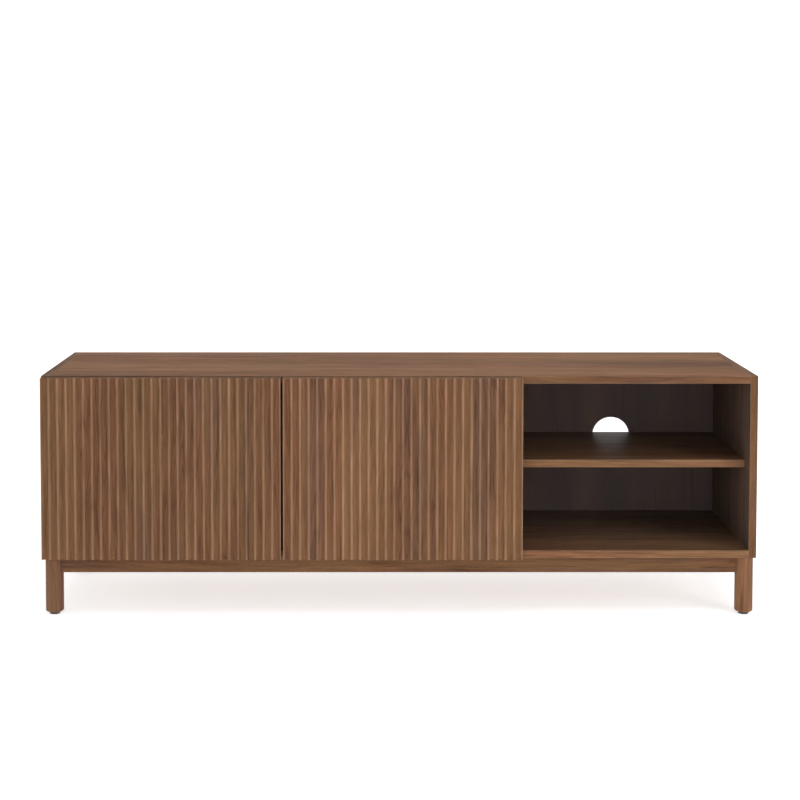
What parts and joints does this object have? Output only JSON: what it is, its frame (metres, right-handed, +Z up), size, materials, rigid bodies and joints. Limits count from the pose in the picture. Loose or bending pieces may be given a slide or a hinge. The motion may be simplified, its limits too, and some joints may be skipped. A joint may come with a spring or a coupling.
{
  "type": "tv stand with doors",
  "caption": "Low walnut-look TV stand on round legs, with fluted push-to-open doors over closed bays beside an open bay with a shelf and a cable hole.",
  "frame": {"origin": "on the floor, under the middle of the overall box", "axes": "+X to the right seen from the front, +Y to the back, +Z up; the doors face -Y"},
  "size_m": [1.5, 0.4, 0.508],
  "materials": {
    "walnut_laminate": "walnut-grain foil on board, satin",
    "walnut_backboard": "dark walnut-grain paper on hardboard, satin",
    "walnut_leg": "walnut-stained turned wood, satin lacquer",
    "beech_dowel": "plain beech, raw",
    "black_glide": "black moulded plastic, matte",
    "grey_latch": "light grey moulded plastic, matte",
    "clear_bumper": "soft clear polyurethane",
    "nickel_hinge": "nickel-plated pressed steel",
    "zinc_fitting": "zinc-plated steel and die-cast zinc"
  },
  "bodies": {
    "carcass": {"top_panel": "walnut_laminate", "bottom_panel": "walnut_laminate", "left_side_panel": "walnut_laminate", "right_side_panel": "walnut_laminate", "bay_divider": "walnut_laminate", "centre_partition": "walnut_laminate", "left_bay_shelf": "walnut_laminate", "middle_bay_shelf": "walnut_laminate", "open_bay_shelf": "walnut_laminate", "front_rail": "walnut_laminate", "rear_rail": "walnut_laminate", "left_rail": "walnut_laminate", "right_rail": "walnut_laminate", "left_bay_back_panel": "walnut_backboard", "middle_bay_back_panel": "walnut_backboard", "open_bay_back_panel": "walnut_backboard", "front_left_leg": "walnut_leg", "front_left_glide": "black_glide", "front_right_leg": "walnut_leg", "front_right_glide": "black_glide", "rear_left_leg": "walnut_leg", "rear_left_glide": "black_glide", "rear_right_leg": "walnut_leg", "rear_right_glide": "black_glide", "shelf_pegs": "zinc_fitting", "cam_bolts": "zinc_fitting", "wooden_dowels": "beech_dowel", "cam_locks": "zinc_fitting", "leg_bolts": "zinc_fitting", "rail_screws": "zinc_fitting", "plate_screws": "zinc_fitting", "latch_screws": "zinc_fitting", "left_upper_hinge_arm": "nickel_hinge", "left_upper_hinge_plate": "nickel_hinge", "left_lower_hinge_arm": "nickel_hinge", "left_lower_hinge_plate": "nickel_hinge", "left_latch_housing": "grey_latch", "right_upper_hinge_arm": "nickel_hinge", "right_upper_hinge_plate": "nickel_hinge", "right_lower_hinge_arm": "nickel_hinge", "right_lower_hinge_plate": "nickel_hinge", "right_latch_housing": "grey_latch"},
    "left_door": {"left_door_panel": "walnut_laminate", "left_upper_hinge_cup": "nickel_hinge", "left_lower_hinge_cup": "nickel_hinge", "left_hinge_pins": "nickel_hinge", "left_cup_screws": "zinc_fitting", "left_strike_plate": "nickel_hinge", "left_door_bumpers": "clear_bumper"},
    "right_door": {"right_door_panel": "walnut_laminate", "right_upper_hinge_cup": "nickel_hinge", "right_lower_hinge_cup": "nickel_hinge", "right_hinge_pins": "nickel_hinge", "right_cup_screws": "zinc_fitting", "right_strike_plate": "nickel_hinge", "right_door_bumpers": "clear_bumper"},
    "left_latch_plunger_rod": {"left_latch_plunger": "grey_latch"},
    "right_latch_plunger_rod": {"right_latch_plunger": "grey_latch"}
  },
  "joints": [
    {"name": "left_door_hinge", "type": "hinge", "parent": "carcass", "child": "left_door", "pos_m": [-0.741, -0.1905, 0.315], "axis": [0, 0, -1], "range_deg": [0, 95]},
    {"name": "right_door_hinge", "type": "hinge", "parent": "carcass", "child": "right_door", "pos_m": [0.25, -0.1905, 0.315], "axis": [0, 0, 1], "range_deg": [0, 95]},
    {"name": "left_latch_press", "type": "slide", "parent": "carcass", "child": "left_latch_plunger_rod", "axis": [0, 1, 0], "range_m": [0, 0.003], "stiffness_N_per_m": 400, "springref_m": -0.002},
    {"name": "right_latch_press", "type": "slide", "parent": "carcass", "child": "right_latch_plunger_rod", "axis": [0, 1, 0], "range_m": [0, 0.003], "stiffness_N_per_m": 400, "springref_m": -0.002}
  ]
}
